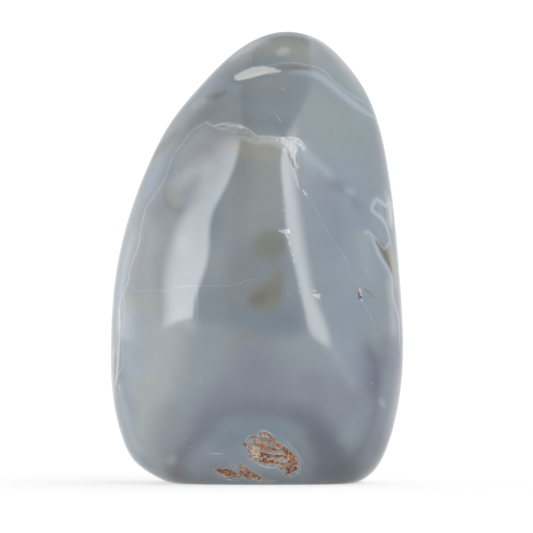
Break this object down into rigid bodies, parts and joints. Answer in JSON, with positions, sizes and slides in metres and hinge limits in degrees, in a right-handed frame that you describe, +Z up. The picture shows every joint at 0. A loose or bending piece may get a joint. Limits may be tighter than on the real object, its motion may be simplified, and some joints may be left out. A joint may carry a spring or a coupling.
{
  "type": "polished agate freeform",
  "caption": "Upright polished agate stone with a domed top, glossy translucent blue-grey skin, rough brown pores and a flat sawn base that it stands on.",
  "frame": {"origin": "middle of the box of the stone, on the plane of the flat base that it stands on", "axes": "+Z up to the domed top, -Y out of the face that is looked at, +X to that face's right"},
  "size_m": [0.0713, 0.0455, 0.11],
  "materials": {
    "polished_agate": "high polish, milky translucent, with pale healed cracks, olive clouds and rough brown pores"
  },
  "bodies": {
    "root": {"agate_stone": "polished_agate"}
  },
  "joints": []
}
